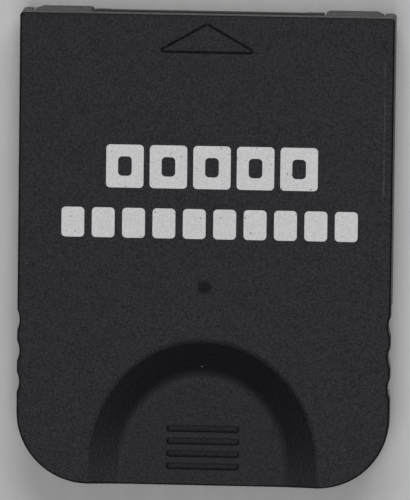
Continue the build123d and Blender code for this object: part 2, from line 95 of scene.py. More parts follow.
# Fine marks drawn out along one direction
GOLD_MARKS = {"Stretch": (1.0, 18.0, 1.0), "Spacing": 0.05 * MM}
STEEL_MARKS = {"Stretch": (4.0, 1.0, 1.0), "Spacing": 0.07 * MM}
TIN_MARKS = {"Stretch": (6.0, 1.0, 1.0), "Spacing": 0.04 * MM}
PAPER_FIBRES = {"Stretch": (1.0, 3.0, 1.0), "Spacing": 0.5 * MM}

# Threads and layers of the board, and where its resist ends
WEAVE = {"Scale": 900.0, "Distortion": 1.5}
LAYERS = {"Scale": 1400.0, "Distortion": 2.0}
RESIST_END = (CONTACT_FOOT_Y - 0.3 * MM, CONTACT_FOOT_Y - 0.2 * MM)

# The two tones that each finish goes between, as shares of its colour
PLASTIC_TONES = (0.9, 1.12)
INK_TONES = (0.85, 1.12)
RESIST_TONES = (0.85, 1.15)
LAMINATE_TONES = (0.75, 1.0)
METAL_TONES = (1.0, 0.55)
CHIP_TONES = (0.85, 1.2)
FILLER_TONE = 3.0
BODY_TONES = (0.85, 1.1)
CAP_TONES = (0.8, 1.0)
PAPER_TONES = (0.985, 1.015)

# Roughness and gloss of the finishes
INK_ROUGHNESS = (0.55, 0.68)
BOARD_ROUGHNESS = (0.28, 0.62)
CHIP_ROUGHNESS = (0.5, 0.62)
PAPER_ROUGHNESS = (0.85, 0.95)
CAP_ROUGHNESS = 0.38
TARNISH_ROUGHNESS = 0.15
INK_GLOSS = 0.25
PAPER_GLOSS = 0.1

# Width of the grain and depth of the relief
INK_GRAIN = 0.14 * MM
CHIP_GRAIN = 0.06 * MM
CAP_GRAIN = 0.08 * MM
INK_RELIEF = 0.008 * MM
WEAVE_RELIEF = 0.01 * MM
METAL_RELIEF = 0.004 * MM
CHIP_RELIEF = 0.006 * MM
CAP_RELIEF = 0.005 * MM

# Make-up of the mould's grain
FINE_SHARE = 0.65
PIT_SHARE = 0.5
PIT_SCALE = 0.8
DRIFT_SCALE = 0.035

# Spans of a cloudy value over which a mask or a roughness rises
DRIFT_SPAN = (0.3, 0.7)
BROKEN_SPAN = (0.35, 0.65)
GRAIN_SPAN = (0.25, 0.75)
INK_SPAN = (0.35, 0.75)

# Limits for a normal or an edge that points one way
END_FACING = (0.8, 0.95)
LEVEL_FACING = 0.8
NEARLY_ALONG = 0.9

# Make-up of the print, the table and the camera
INK_DEPTH_SHARE = 4
INK_CORNER_SEGMENTS = 6
TABLE_THICKNESS = 0.02
TABLE_CORNER_SHARE = 0.1
TABLE_CORNER_SEGMENTS = 8
CAMERA_NEAR = 0.01

# Sockets of the mix node, whose names repeat
MIX_SHARE, MIX_FIRST, MIX_SECOND, MIX_RESULT = 0, 6, 7, 2


def nodes_named(*starts):
    """The names of the solids that begin with any of these words."""
    return sorted(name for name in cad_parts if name.startswith(starts))


# Shader node helpers


def feed(tree, node, inputs):
    """Sets or links a node's inputs."""
    for key, value in inputs.items():
        if isinstance(value, bpy.types.NodeSocket):
            tree.links.new(value, node.inputs[key])
        else:
            node.inputs[key].default_value = value


def add_node(tree, kind, inputs, **settings):
    """A node with its settings, and with its inputs set or linked."""
    made = tree.nodes.new(kind)
    for key, value in settings.items():
        setattr(made, key, value)
    feed(tree, made, inputs)
    return made


def calc(tree, operation, first, second=0.0):
    """The result of one sum."""
    return add_node(tree, "ShaderNodeMath", {0: first, 1: second}, operation=operation).outputs[0]


def times(tree, first, second):
    """One value multiplied by another."""
    return calc(tree, "MULTIPLY", first, second)


def vector_calc(tree, operation, first, second):
    """The result of one sum on two vectors."""
    made = add_node(tree, "ShaderNodeVectorMath", {0: first, 1: second}, operation=operation)
    return made.outputs["Vector"]


def scaled(tree, vector, scale):
    """A vector made longer or shorter."""
    made = add_node(tree, "ShaderNodeVectorMath", {0: vector, "Scale": scale}, operation="SCALE")
    return made.outputs["Vector"]


def length(tree, vector):
    """How long a vector is."""
    return add_node(tree, "ShaderNodeVectorMath", {0: vector}, operation="LENGTH").outputs["Value"]


def part_of(tree, vector, axis):
    """One of a vector's three values."""
    return add_node(tree, "ShaderNodeSeparateXYZ", {0: vector}).outputs[axis]


def off_middle(tree, vector, middle, axis):
    """How far a place is from a middle along one axis, either way."""
    return calc(tree, "ABSOLUTE", part_of(tree, vector_calc(tree, "SUBTRACT", vector, middle), axis))


def ramp(tree, value, low, high, to_low=0.0, to_high=1.0, kind="SMOOTHSTEP"):
    """A value carried from one span to another, held at both ends."""
    inputs = {"Value": value, "From Min": low, "From Max": high, "To Min": to_low, "To Max": to_high}
    made = add_node(tree, "ShaderNodeMapRange", inputs, interpolation_type=kind, clamp=True)
    return made.outputs["Result"]


def spread(tree, share, low, high):
    """A value between two others by a mask."""
    return ramp(tree, share, 0.0, 1.0, low, high, "LINEAR")


def blend(tree, share, first, second):
    """One colour over another by a mask."""
    inputs = {MIX_SHARE: share, MIX_FIRST: first, MIX_SECOND: second}
    return add_node(tree, "ShaderNodeMix", inputs, data_type="RGBA").outputs[MIX_RESULT]


def shade(colour, factor=1.0):
    """A colour with its alpha, made lighter or darker."""
    return (colour[0] * factor, colour[1] * factor, colour[2] * factor, 1.0)


def toned(tree, share, colour, tones):
    """A colour that goes from one tone to another by a mask."""
    return blend(tree, share, shade(colour, tones[0]), shade(colour, tones[1]))


def noise(tree, vector, scale, detail=2.0, roughness=0.5):
    """A cloudy value about a half."""
    inputs = {"Vector": vector, "Scale": scale, "Detail": detail, "Roughness": roughness}
    return add_node(tree, "ShaderNodeTexNoise", inputs).outputs[0]


def bands(tree, vector, direction, make_up):
    """Fine waves along one direction."""
    inputs = {"Vector": vector, **make_up}
    return add_node(tree, "ShaderNodeTexWave", inputs, bands_direction=direction).outputs["Fac"]


# Node groups


def start_group(name, inputs, outputs):
    """An empty node group with its sockets, what it is given, and its output node."""
    tree = bpy.data.node_groups.new(name, "ShaderNodeTree")
    for direction, sockets in (("INPUT", inputs), ("OUTPUT", outputs)):
        for label, kind in sockets.items():
            tree.interface.new_socket(label, in_out=direction, socket_type="NodeSocket" + kind)
    return tree, tree.nodes.new("NodeGroupInput").outputs, tree.nodes.new("NodeGroupOutput")


def spark_grain(name):
    """The fine pitted texture of a spark-eroded mould, with a slow drift of its tone."""
    sockets = {"Vector": "Vector", "Size": "Float"}
    tree, given, out = start_group(name, sockets, {"Height": "Float", "Tone": "Float"})
    place = scaled(tree, given["Vector"], calc(tree, "DIVIDE", 1.0, given["Size"]))
    fine = noise(tree, place, 1.0, detail=3.0, roughness=0.65)
    cells = {"Vector": place, "Scale": PIT_SCALE}
    pits = add_node(tree, "ShaderNodeTexVoronoi", cells, feature="SMOOTH_F1").outputs["Distance"]
    height = calc(tree, "ADD", times(tree, fine, FINE_SHARE), times(tree, pits, PIT_SHARE))
    slow = noise(tree, place, DRIFT_SCALE, detail=3.0, roughness=0.6)
    feed(tree, out, {"Height": height, "Tone": ramp(tree, slow, *DRIFT_SPAN)})
    return tree


def flecks(name):
    """Small scattered spots, such as dust or pinholes."""
    sockets = {"Vector": "Vector", "Spacing": "Float", "Size": "Float", "Share": "Float"}
    tree, given, out = start_group(name, sockets, {"Mask": "Float"})
    per_spacing = calc(tree, "DIVIDE", 1.0, given["Spacing"])
    place = scaled(tree, given["Vector"], per_spacing)
    cells = add_node(tree, "ShaderNodeTexVoronoi", {"Vector": place, "Scale": 1.0})
    draw = add_node(tree, "ShaderNodeSeparateColor", {"Color": cells.outputs["Color"]})
    chosen = calc(tree, "LESS_THAN", draw.outputs[0], given["Share"])
    reach = times(tree, times(tree, given["Size"], per_spacing), draw.outputs[1])
    near = calc(tree, "LESS_THAN", cells.outputs["Distance"], reach)
    feed(tree, out, {"Mask": times(tree, chosen, near)})
    return tree


def plan_spot(name):
    """A round spot in plan."""
    sockets = {"Vector": "Vector", "Place": "Vector", "Radius": "Float", "Edge": "Float"}
    tree, given, out = start_group(name, sockets, {"Mask": "Float"})
    away = vector_calc(tree, "SUBTRACT", given["Vector"], given["Place"])
    distance = length(tree, vector_calc(tree, "MULTIPLY", away, (1.0, 1.0, 0.0)))
    inner = calc(tree, "SUBTRACT", given["Radius"], given["Edge"])
    outer = calc(tree, "ADD", given["Radius"], given["Edge"])
    feed(tree, out, {"Mask": ramp(tree, distance, inner, outer, 1.0, 0.0)})
    return tree


def plan_strip(name):
    """A straight strip in plan, with soft edges."""
    sockets = {"Vector": "Vector", "Middle": "Vector", "Half Size": "Vector", "Edge": "Float"}
    tree, given, out = start_group(name, sockets, {"Mask": "Float"})
    shares = []
    for axis in (X, Y):
        off = off_middle(tree, given["Vector"], given["Middle"], axis)
        over = calc(tree, "SUBTRACT", off, part_of(tree, given["Half Size"], axis))
        shares.append(ramp(tree, over, 0.0, given["Edge"], 1.0, 0.0))
    feed(tree, out, {"Mask": times(tree, *shares)})
    return tree


def rib_tops(name):
    """The tops of a ladder of ribs that lie along X."""
    sockets = {"Vector": "Vector", "First": "Vector", "Half Size": "Vector"}
    sockets |= {"Pitch": "Float", "Count": "Float"}
    tree, given, out = start_group(name, sockets, {"Mask": "Float"})
    away = vector_calc(tree, "SUBTRACT", given["Vector"], given["First"])
    from_first = part_of(tree, away, Y)
    steps = calc(tree, "ROUND", calc(tree, "DIVIDE", from_first, given["Pitch"]))
    off_line = calc(tree, "SUBTRACT", from_first, times(tree, steps, given["Pitch"]))
    off_end = calc(tree, "ABSOLUTE", part_of(tree, away, X))
    along = calc(tree, "LESS_THAN", off_end, part_of(tree, given["Half Size"], X))
    across = calc(tree, "LESS_THAN", calc(tree, "ABSOLUTE", off_line), part_of(tree, given["Half Size"], Y))
    begun = calc(tree, "GREATER_THAN", steps, -0.5)
    ended = calc(tree, "LESS_THAN", steps, calc(tree, "SUBTRACT", given["Count"], 0.5))
    feed(tree, out, {"Mask": times(tree, times(tree, along, across), times(tree, begun, ended))})
    return tree


def drawn_marks(name):
    """Fine marks drawn out along one direction, as by sliding or rolling."""
    sockets = {"Vector": "Vector", "Stretch": "Vector", "Spacing": "Float"}
    tree, given, out = start_group(name, sockets, {"Height": "Float", "Tone": "Float"})
    drawn = vector_calc(tree, "DIVIDE", given["Vector"], given["Stretch"])
    place = scaled(tree, drawn, calc(tree, "DIVIDE", 1.0, given["Spacing"]))
    tone = ramp(tree, noise(tree, place, 0.3), *BROKEN_SPAN)
    feed(tree, out, {"Height": noise(tree, place, 1.0, detail=4.0, roughness=0.6), "Tone": tone})
    return tree


def end_caps(name):
    """The two ends of a small part that lies along Y."""
    sockets = {"Vector": "Vector", "Middle": "Vector", "Reach": "Float"}
    tree, given, out = start_group(name, sockets, {"Mask": "Float"})
    along = off_middle(tree, given["Vector"], given["Middle"], Y)
    feed(tree, out, {"Mask": calc(tree, "GREATER_THAN", along, given["Reach"])})
    return tree


GROUPS = {
    "Spark grain": spark_grain,
    "Flecks": flecks,
    "Plan spot": plan_spot,
    "Plan strip": plan_strip,
    "Rib tops": rib_tops,
    "Drawn marks": drawn_marks,
    "End caps": end_caps,
}


# Materials


def start_material(name):
    """A material with its shader and the object's own coordinates."""
    material = bpy.data.materials.new(name)
    material.use_nodes = True
    tree = material.node_tree
    shader = tree.nodes["Principled BSDF"]
    place = tree.nodes.new("ShaderNodeTexCoord").outputs["Object"]
    return material, tree, shader, place


def use_group(tree, name, place, inputs):
    """A node group placed in a material with its own values, built when it is first asked for."""
    group = bpy.data.node_groups.get(name) or GROUPS[name](name)
    return add_node(tree, "ShaderNodeGroup", {"Vector": place, **inputs}, node_tree=group).outputs


def facing(tree, axis):
    """How much the surface faces along one axis."""
    return part_of(tree, tree.nodes.new("ShaderNodeNewGeometry").outputs["True Normal"], axis)


def relief(tree, height, depth, under=None):
    """A bump normal from a height, over another normal if one is given."""
    inputs = {"Height": height, "Distance": depth, "Strength": 1.0}
    if under is not None:
        inputs["Normal"] = under
    return add_node(tree, "ShaderNodeBump", inputs).outputs["Normal"]


def add_front_marks(tree, place, settings, colour, rough):
    """The marks of the front, as its colour, its roughness and the normal under its grain."""
    spot = {"Place": SCREW_PLACE, "Radius": settings.sink_radius, "Edge": settings.sink_radius / 2}
    sink = use_group(tree, "Plan spot", place, spot)["Mask"]
    rough = calc(tree, "ADD", rough, times(tree, sink, settings.sink_dullness))
    under = relief(tree, calc(tree, "SUBTRACT", 1.0, sink), settings.sink_depth)
    ribs = use_group(tree, "Rib tops", place, RIBS)["Mask"]
    rough = calc(tree, "ADD", rough, times(tree, ribs, settings.rib_dullness))
    # Painted lighter: a thin broken strip near the right edge, mixed towards the dust colour
    pale_streak = use_group(tree, "Plan strip", place, PALE_STREAK)["Mask"]
    broken = ramp(tree, noise(tree, place, PALE_STREAK_BREAKS, detail=3.0), *BROKEN_SPAN)
    mark = times(tree, times(tree, pale_streak, broken), settings.pale_streak)
    colour = blend(tree, mark, colour, shade(settings.dust_colour))
    speck = use_group(tree, "Plan spot", place, SPECK)["Mask"]
    colour = blend(tree, speck, colour, shade(settings.speck_colour))
    return colour, rough, under


def moulded_plastic(name, settings, front):
    """Black moulded plastic with grain and dust, and on the front the marks that this card shows."""
    material, tree, shader, place = start_material(name)
    grain = use_group(tree, "Spark grain", place, {"Size": settings.grain_size})
    dust = use_group(tree, "Flecks", place, DUST)["Mask"]
    colour = toned(tree, grain["Tone"], settings.colour, PLASTIC_TONES)
    colour = blend(tree, times(tree, dust, settings.dust), colour, shade(settings.dust_colour))
    smoothest = settings.roughness - settings.mottle
    roughest = settings.roughness + settings.mottle
    rough = ramp(tree, grain["Height"], *GRAIN_SPAN, smoothest, roughest, "LINEAR")
    end_face = ramp(tree, facing(tree, Y), *END_FACING)
    rough = calc(tree, "SUBTRACT", rough, times(tree, end_face, settings.end_polish))
    height = times(tree, grain["Height"], calc(tree, "SUBTRACT", 1.0, end_face))
    under = None
    if front:
        colour, rough, under = add_front_marks(tree, place, settings, colour, rough)
    normal = relief(tree, height, settings.grain_depth, under)
    feed(tree, shader, {"Base Color": colour, "Roughness": rough, "Normal": normal})
    gloss = {"Specular IOR Level": settings.sheen, "Specular Tint": shade(settings.sheen_colour)}
    feed(tree, shader, gloss)
    return material


def printed_ink(settings):
    """White print with pinholes and a dry, slightly uneven surface."""
    material, tree, shader, place = start_material("printed_ink")
    grain = use_group(tree, "Spark grain", place, {"Size": INK_GRAIN})
    holes = use_group(tree, "Flecks", place, PINHOLES)["Mask"]
    cover = ramp(tree, grain["Height"], *INK_SPAN, kind="LINEAR")
    colour = toned(tree, cover, settings.ink_colour, INK_TONES)
    colour = blend(tree, times(tree, holes, settings.pinholes), colour, shade(settings.hole_colour))
    rough = spread(tree, grain["Tone"], *INK_ROUGHNESS)
    normal = relief(tree, grain["Height"], INK_RELIEF)
    feed(tree, shader, {"Base Color": colour, "Roughness": rough, "Normal": normal})
    feed(tree, shader, {"Specular IOR Level": INK_GLOSS})
    return material


def board_finish(settings):
    """Solder resist over woven laminate, with the cut laminate on the edges and round the contacts; the
    laminate's colour is its own dark tone, darkened further as painted shade for the board's end under the
    shell's lip.
    """
    material, tree, shader, place = start_material("board_resist")
    threads = times(tree, bands(tree, place, "X", WEAVE), bands(tree, place, "Y", WEAVE))
    resist = toned(tree, threads, settings.resist_colour, RESIST_TONES)
    layers = bands(tree, place, "Z", LAYERS)
    # Laminate colour: the board's own dark laminate, darkened further as painted shade for the board's end
    # in the shadow under the lip
    laminate = toned(tree, layers, settings.laminate_and_shade_colour, LAMINATE_TONES)
    edge = calc(tree, "LESS_THAN", calc(tree, "ABSOLUTE", facing(tree, Z)), LEVEL_FACING)
    bare = ramp(tree, part_of(tree, place, Y), *RESIST_END)
    uncovered = calc(tree, "MAXIMUM", edge, bare)
    colour = blend(tree, uncovered, resist, laminate)
    rough = spread(tree, uncovered, *BOARD_ROUGHNESS)
    normal = relief(tree, threads, WEAVE_RELIEF)
    feed(tree, shader, {"Base Color": colour, "Roughness": rough, "Normal": normal})
    return material


def plated_metal(name, colour, drawn, roughness, tarnish):
    """Plated metal with fine drawn marks and a little tarnish."""
    material, tree, shader, place = start_material(name)
    marks = use_group(tree, "Drawn marks", place, drawn)
    colour = toned(tree, times(tree, marks["Tone"], tarnish), colour, METAL_TONES)
    rough = spread(tree, marks["Tone"], roughness, roughness + TARNISH_ROUGHNESS)
    normal = relief(tree, marks["Height"], METAL_RELIEF)
    feed(tree, shader, {"Base Color": colour, "Roughness": rough, "Metallic": 1.0, "Normal": normal})
    return material


def chip_epoxy(settings):
    """Moulded black epoxy with a fine mineral filler."""
    material, tree, shader, place = start_material("chip_epoxy")
    grain = use_group(tree, "Spark grain", place, {"Size": CHIP_GRAIN})
    filler = use_group(tree, "Flecks", place, FILLER)["Mask"]
    colour = toned(tree, grain["Tone"], settings.chip_colour, CHIP_TONES)
    colour = blend(tree, filler, colour, shade(settings.chip_colour, FILLER_TONE))
    rough = spread(tree, grain["Tone"], *CHIP_ROUGHNESS)
    normal = relief(tree, grain["Height"], CHIP_RELIEF)
    feed(tree, shader, {"Base Color": colour, "Roughness": rough, "Normal": normal})
    return material


def end_capped(name, body_colour, tin_colour, node, cap, body_roughness):
    """A small part with a coloured body between two tinned ends."""
    material, tree, shader, place = start_material(name)
    low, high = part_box(node)
    ends = {"Middle": (low + high) / 2, "Reach": (high.y - low.y) / 2 - cap}
    caps = use_group(tree, "End caps", place, ends)["Mask"]
    grain = use_group(tree, "Spark grain", place, {"Size": CAP_GRAIN})
    body = toned(tree, grain["Tone"], body_colour, BODY_TONES)
    tin = toned(tree, grain["Tone"], tin_colour, CAP_TONES)
    colour = blend(tree, caps, body, tin)
    rough = spread(tree, caps, body_roughness, CAP_ROUGHNESS)
    normal = relief(tree, grain["Height"], CAP_RELIEF)
    feed(tree, shader, {"Base Color": colour, "Roughness": rough, "Metallic": caps, "Normal": normal})
    return material


def table_paper(settings):
    """Pale matte paper with faint fibres."""
    material, tree, shader, place = start_material("table_paper")
    fibre = use_group(tree, "Drawn marks", place, PAPER_FIBRES)["Tone"]
    colour = toned(tree, fibre, settings.floor_colour, PAPER_TONES)
    rough = spread(tree, fibre, *PAPER_ROUGHNESS)
    feed(tree, shader, {"Base Color": colour, "Roughness": rough, "Specular IOR Level": PAPER_GLOSS})
    return material


# Settings


class CardShellSettings(bpy.types.PropertyGroup):
    """Finish of the two moulded shells."""

    colour: bpy.props.FloatVectorProperty(
        name="Plastic", description="Colour of the moulded plastic", subtype="COLOR",
        default=(0.0026, 0.0027, 0.0036),
    )
    grain_size: bpy.props.FloatProperty(
        name="Grain size", description="Width of one pit of the mould texture", unit="LENGTH",
        default=0.16 * MM,
    )
    grain_depth: bpy.props.FloatProperty(
        name="Grain depth", description="Depth of the mould texture", unit="LENGTH", default=0.035 * MM
    )
    roughness: bpy.props.FloatProperty(
        name="Roughness", description="How matte the plastic is", subtype="FACTOR", default=0.4
    )
    mottle: bpy.props.FloatProperty(
        name="Mottle", description="How much the roughness changes from pit to pit", subtype="FACTOR",
        default=0.15,
    )
    end_polish: bpy.props.FloatProperty(
        name="End polish", description="How much smoother the connector end is", subtype="FACTOR",
        default=0.1,
    )
    sheen: bpy.props.FloatProperty(
        name="Surface gloss", description="Strength of the plastic's reflection", subtype="FACTOR",
        default=0.158,
    )
    sheen_colour: bpy.props.FloatVectorProperty(
        name="Gloss colour", description="Colour of the plastic's reflection", subtype="COLOR",
        default=(0.94, 0.95, 1.0),
    )
    dust: bpy.props.FloatProperty(
        name="Dust", description="How much the dust specks show", subtype="FACTOR", default=0.15
    )
    # Colour of the dust specks, also used for the thin pale strip near the right edge
    dust_colour: bpy.props.FloatVectorProperty(
        name="Dust colour", description="Colour of dust and scuffs", subtype="COLOR",
        default=(0.2, 0.2, 0.2),
    )
    # How much the thin strip near the right edge is painted lighter
    pale_streak: bpy.props.FloatProperty(
        name="Scuff", description="How much the long scuff shows", subtype="FACTOR", default=0.15
    )
    speck_colour: bpy.props.FloatVectorProperty(
        name="Speck", description="Colour of the speck in the thumb scoop", subtype="COLOR",
        default=(0.22, 0.22, 0.22),
    )
    sink_radius: bpy.props.FloatProperty(
        name="Sink mark radius", description="Radius of the sink mark over the screw boss", unit="LENGTH",
        default=0.7 * MM,
    )
    sink_depth: bpy.props.FloatProperty(
        name="Sink mark depth", description="Depth of the sink mark", unit="LENGTH", default=0.02 * MM
    )
    sink_dullness: bpy.props.FloatProperty(
        name="Sink mark dullness", description="How much rougher the sink mark is", subtype="FACTOR",
        default=0.25,
    )
    rib_dullness: bpy.props.FloatProperty(
        name="Rib dullness", description="How much rougher the tops of the ribs are", subtype="FACTOR",
        default=0.11,
    )


class CardPrintSettings(bpy.types.PropertyGroup):
    """Two rows of white printed blocks on the front face."""

    ink_colour: bpy.props.FloatVectorProperty(
        name="Ink", description="Colour of the print", subtype="COLOR", default=(0.545, 0.545, 0.555)
    )
    hole_colour: bpy.props.FloatVectorProperty(
        name="Pinholes", description="Colour that shows through the pinholes", subtype="COLOR",
        default=(0.1, 0.1, 0.1),
    )
    pinholes: bpy.props.FloatProperty(
        name="Pinhole share", description="How much the pinholes show", subtype="FACTOR", default=0.55
    )
    thickness: bpy.props.FloatProperty(
        name="Ink thickness", description="How far the ink stands on the plastic", unit="LENGTH",
        default=0.015 * MM,
    )
    cell_count: bpy.props.IntProperty(name="Cells", description="Blocks in the upper row", default=5)
    cell_width: bpy.props.FloatProperty(
        name="Cell width", description="Width of an upper block", unit="LENGTH", default=4.1 * MM
    )
    cell_height: bpy.props.FloatProperty(
        name="Cell height", description="Height of an upper block", unit="LENGTH", default=4.75 * MM
    )
    cell_pitch: bpy.props.FloatProperty(
        name="Cell pitch", description="From one upper block to the next", unit="LENGTH",
        default=4.77 * MM,
    )
    cell_window: bpy.props.FloatProperty(
        name="Cell frame", description="Width of the frame round an upper block's window", unit="LENGTH",
        default=1.3 * MM,
    )
    cell_row: bpy.props.FloatVectorProperty(
        name="Upper row", description="Middle of the upper row", subtype="XYZ", unit="LENGTH",
        default=(0.7 * MM, 9.3 * MM, 0),
    )
    bar_count: bpy.props.IntProperty(name="Bars", description="Blocks in the lower row", default=10)
    bar_width: bpy.props.FloatProperty(
        name="Bar width", description="Width of a lower block", unit="LENGTH", default=2.5 * MM
    )
    bar_height: bpy.props.FloatProperty(
        name="Bar height", description="Height of a lower block", unit="LENGTH", default=3.3 * MM
    )
    bar_pitch: bpy.props.FloatProperty(
        name="Bar pitch", description="From one lower block to the next", unit="LENGTH",
        default=3.33 * MM,
    )
    bar_row: bpy.props.FloatVectorProperty(
        name="Lower row", description="Middle of the lower row", subtype="XYZ", unit="LENGTH",
        default=(0.5 * MM, 3.05 * MM, 0),
    )
    corner: bpy.props.FloatProperty(
        name="Corner", description="Radius of the blocks' corners", unit="LENGTH", default=0.45 * MM
    )


class CardBoardSettings(bpy.types.PropertyGroup):
    """Finish of the circuit board and the parts on it."""

    resist_colour: bpy.props.FloatVectorProperty(
        name="Resist", description="Colour of the solder resist", subtype="COLOR",
        default=(0.012, 0.09, 0.035),
    )
    # Near-black: the laminate's own dark tone, darkened further as painted shade for the board's end under
    # the shell's lip
    laminate_and_shade_colour: bpy.props.FloatVectorProperty(
        name="Laminate", description="Colour of the bare laminate", subtype="COLOR",
        default=(0.016, 0.015, 0.012),
    )
    gold_colour: bpy.props.FloatVectorProperty(
        name="Gold", description="Colour of the contacts", subtype="COLOR", default=(0.83, 0.58, 0.2)
    )
    tin_colour: bpy.props.FloatVectorProperty(
        name="Tin", description="Colour of the leads and end caps", subtype="COLOR",
        default=(0.62, 0.62, 0.6),
    )
    steel_colour: bpy.props.FloatVectorProperty(
        name="Steel", description="Colour of the closing screw", subtype="COLOR",
        default=(0.5, 0.5, 0.49),
    )
    chip_colour: bpy.props.FloatVectorProperty(
        name="Chip", description="Colour of the chip bodies", subtype="COLOR",
        default=(0.016, 0.016, 0.017),
    )
    bulk_colour: bpy.props.FloatVectorProperty(
        name="Storage capacitor", description="Colour of the large capacitor", subtype="COLOR",
        default=(0.7, 0.42, 0.05),
    )
    ceramic_colour: bpy.props.FloatVectorProperty(
        name="Ceramic", description="Colour of the small capacitors", subtype="COLOR",
        default=(0.4, 0.26, 0.15),
    )
    film_colour: bpy.props.FloatVectorProperty(
        name="Resistor film", description="Colour of the resistors", subtype="COLOR",
        default=(0.02, 0.02, 0.022),
    )


class CardStageSettings(bpy.types.PropertyGroup):
    """Table, lamps and camera."""

    floor_colour: bpy.props.FloatVectorProperty(
        name="Table", description="Colour of the table", subtype="COLOR", default=(0.5, 0.5, 0.5)
    )
    floor_size: bpy.props.FloatProperty(
        name="Table size", description="Side of the table", unit="LENGTH",
        default=4.0,
    )
    overhead_place: bpy.props.FloatVectorProperty(
        name="Overhead place", description="Middle of the lamp overhead", subtype="XYZ", unit="LENGTH",
        default=(-0.01, -0.14, 0.9),
    )
    overhead_size: bpy.props.FloatVectorProperty(
        name="Overhead size", description="Width and length of the lamp overhead",
        size=2, unit="LENGTH",
        default=(0.5, 0.72),
    )
    overhead_power: bpy.props.FloatProperty(
        name="Overhead power", description="Power of the lamp overhead", unit="POWER", default=4.05
    )
    window_place: bpy.props.FloatVectorProperty(
        name="Window place", description="Middle of the lamp beyond the connector end",
        subtype="XYZ", unit="LENGTH",
        default=(0.08, 0.5, 0.5),
    )
    window_size: bpy.props.FloatVectorProperty(
        name="Window size", description="Width and height of the lamp beyond the connector end",
        size=2, unit="LENGTH",
        default=(0.5, 0.35),
    )
    window_power: bpy.props.FloatProperty(
        name="Window power", description="Power of the lamp beyond the connector end", unit="POWER",
        default=3.0,
    )
    fill: bpy.props.FloatProperty(
        name="Fill", description="Strength of the light all round",
        default=0.12,
    )
    backdrop: bpy.props.FloatVectorProperty(
        name="Backdrop", description="Colour behind the table", subtype="COLOR",
        default=(0.19, 0.19, 0.19),
    )
    aim: bpy.props.FloatVectorProperty(
        name="Aim", description="Point at the middle of the picture", subtype="XYZ", unit="LENGTH",
        default=(0.046 * MM, 0.2 * MM, 7.0 * MM),
    )
    distance: bpy.props.FloatProperty(
        name="Distance", description="From the camera to the card", unit="LENGTH", default=1.1
    )
    view_height: bpy.props.FloatProperty(
        name="View height", description="Height of what the picture takes in", unit="LENGTH",
        default=54.733 * MM,
    )
    tilt: bpy.props.FloatProperty(
        name="Tilt", description="Lean of the view towards the connector end", subtype="ANGLE",
        default=math.radians(8.22),
    )
    lean: bpy.props.FloatProperty(
        name="Side lean", description="Lean of the view towards the right", subtype="ANGLE",
        default=math.radians(3.1),
    )
    roll: bpy.props.FloatProperty(
        name="Roll", description="Turn of the camera on its axis", subtype="ANGLE",
        default=math.radians(0.7),
    )


# Modelling helpers


def select_only(*pieces):
    """Leaves object mode with these pieces selected, if any, and the first of them active."""
    if bpy.context.object and bpy.context.object.mode != "OBJECT":
        bpy.ops.object.mode_set(mode="OBJECT")
    bpy.ops.object.select_all(action="DESELECT")
    for piece in pieces:
        piece.select_set(True)
    if pieces:
        bpy.context.view_layer.objects.active = pieces[0]


def apply_place(piece):
    """Puts a piece's place and size into its mesh."""
    select_only(piece)
    bpy.ops.object.transform_apply(location=True, rotation=True, scale=True)


def add_box(name, middle, size):
    """A box with its place and size in its mesh."""
    select_only()
    bpy.ops.mesh.primitive_cube_add(size=1.0, location=middle, scale=size)
    box = bpy.context.object
    box.name = name
    apply_place(box)
    return box


def pick(mesh, kind, test):
    """Selects the edges or the faces that pass a test, in edit mode."""
    bpy.ops.mesh.select_all(action="DESELECT")
    bpy.ops.mesh.select_mode(type=kind)
    built = bmesh.from_edit_mesh(mesh)
    for element in built.edges if kind == "EDGE" else built.faces:
        element.select_set(test(element))
    bmesh.update_edit_mesh(mesh)


def upright(edge):
    """Whether an edge stands along Z."""
    along = edge.verts[1].co - edge.verts[0].co
    return abs(along.z) > NEARLY_ALONG * along.length


def looks_up(face):
    """Whether a face looks along Z."""
    return face.normal.z > NEARLY_ALONG


def round_corners(piece, radius, segments):
    """Rounds the upright edges of a piece, in edit mode, and leaves that mode."""
    pick(piece.data, "EDGE", upright)
    bpy.ops.mesh.bevel(offset=radius, segments=segments, affect="EDGES")
    bpy.ops.object.mode_set(mode="OBJECT")


def ink_block(name, middle, width, height, corner, thickness, window):
    """One block of ink with rounded corners, let into the face, and with a window if asked."""
    depth = INK_DEPTH_SHARE * thickness
    place = (middle[0], middle[1], FRONT_Z + thickness - depth / 2)
    block = add_box(name, place, (width, height, depth))
    bpy.ops.object.mode_set(mode="EDIT")
    if window:
        pick(block.data, "FACE", looks_up)
        bpy.ops.mesh.inset(thickness=window, depth=0.0)
        bpy.ops.mesh.extrude_region_move(TRANSFORM_OT_translate={"value": (0, 0, -depth / 2)})
    round_corners(block, corner, INK_CORNER_SEGMENTS)
    return block


def copy_along_x(piece, name, step):
    """A copy of a piece with its own mesh, moved along X."""
    select_only(piece)
    bpy.ops.object.duplicate(linked=False)
    made = bpy.context.object
    made.name = name
    bpy.ops.transform.translate(value=(step, 0, 0))
    apply_place(made)
    return made


def join_pieces(pieces, name):
    """Several like pieces as one."""
    select_only(*pieces)
    bpy.ops.object.join()
    made = bpy.context.object
    made.name = name
    made.data.name = name
    return made


def paint(names, material):
    """Gives solids one finish."""
    if not names:
        raise RuntimeError("no solid takes the finish " + material.name)
    for name in names:
        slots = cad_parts[name].data.materials
        slots.clear()
        slots.append(material)


# Operators


class CARD_OT_finish_shells(bpy.types.Operator):
    """Gives the front and rear shells their moulded plastic."""

    bl_idname = "card.finish_shells"
    bl_label = "Finish shells"

    def execute(self, context):
        settings = context.scene.card_shell
        paint(["front_shell"], moulded_plastic("front_plastic", settings, True))
        paint(["rear_shell"], moulded_plastic("rear_plastic", settings, False))
        return {"FINISHED"}


